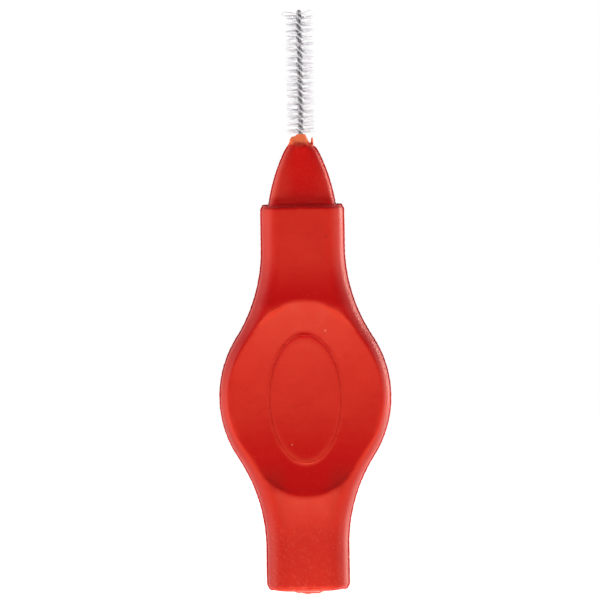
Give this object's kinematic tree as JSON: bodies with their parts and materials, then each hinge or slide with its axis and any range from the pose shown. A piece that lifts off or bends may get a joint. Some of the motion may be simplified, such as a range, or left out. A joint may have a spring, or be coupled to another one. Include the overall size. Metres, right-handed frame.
{
  "type": "interdental brush",
  "caption": "Interdental brush: soft one-piece handle with a dished finger pad on each face, a flexible neck and a tapered nose that holds a twisted wire with radial nylon bristles.",
  "frame": {"origin": "middle of the tail's flat end", "axes": "+Z along the handle to the tip of the wire, -Y out of the front face, +X to the right seen from the front"},
  "size_m": [0.0172, 0.0056, 0.0581],
  "materials": {
    "handle_elastomer": "satin moulded soft elastomer, red",
    "wire_steel": "drawn stainless wire, dull bright",
    "bristle_nylon": "fine translucent white nylon filament"
  },
  "bodies": {
    "grip": {"handle": "handle_elastomer"},
    "brush": {"twisted_wire": "wire_steel", "bristle_row_01": "bristle_nylon", "bristle_row_02": "bristle_nylon", "bristle_row_03": "bristle_nylon", "bristle_row_04": "bristle_nylon", "bristle_row_05": "bristle_nylon", "bristle_row_06": "bristle_nylon", "bristle_row_07": "bristle_nylon", "bristle_row_08": "bristle_nylon", "bristle_row_09": "bristle_nylon", "bristle_row_10": "bristle_nylon", "bristle_row_11": "bristle_nylon", "bristle_row_12": "bristle_nylon", "bristle_row_13": "bristle_nylon", "bristle_row_14": "bristle_nylon", "bristle_row_15": "bristle_nylon", "bristle_row_16": "bristle_nylon", "bristle_row_17": "bristle_nylon", "bristle_row_18": "bristle_nylon"}
  },
  "joints": [
    {"name": "neck_flex", "type": "hinge", "parent": "grip", "child": "brush", "pos_m": [0, 0, 0.034], "axis": [1, 0, 0], "range_deg": [-30, 30], "stiffness_Nm_per_rad": 0.12, "deforming": ["handle"]}
  ]
}
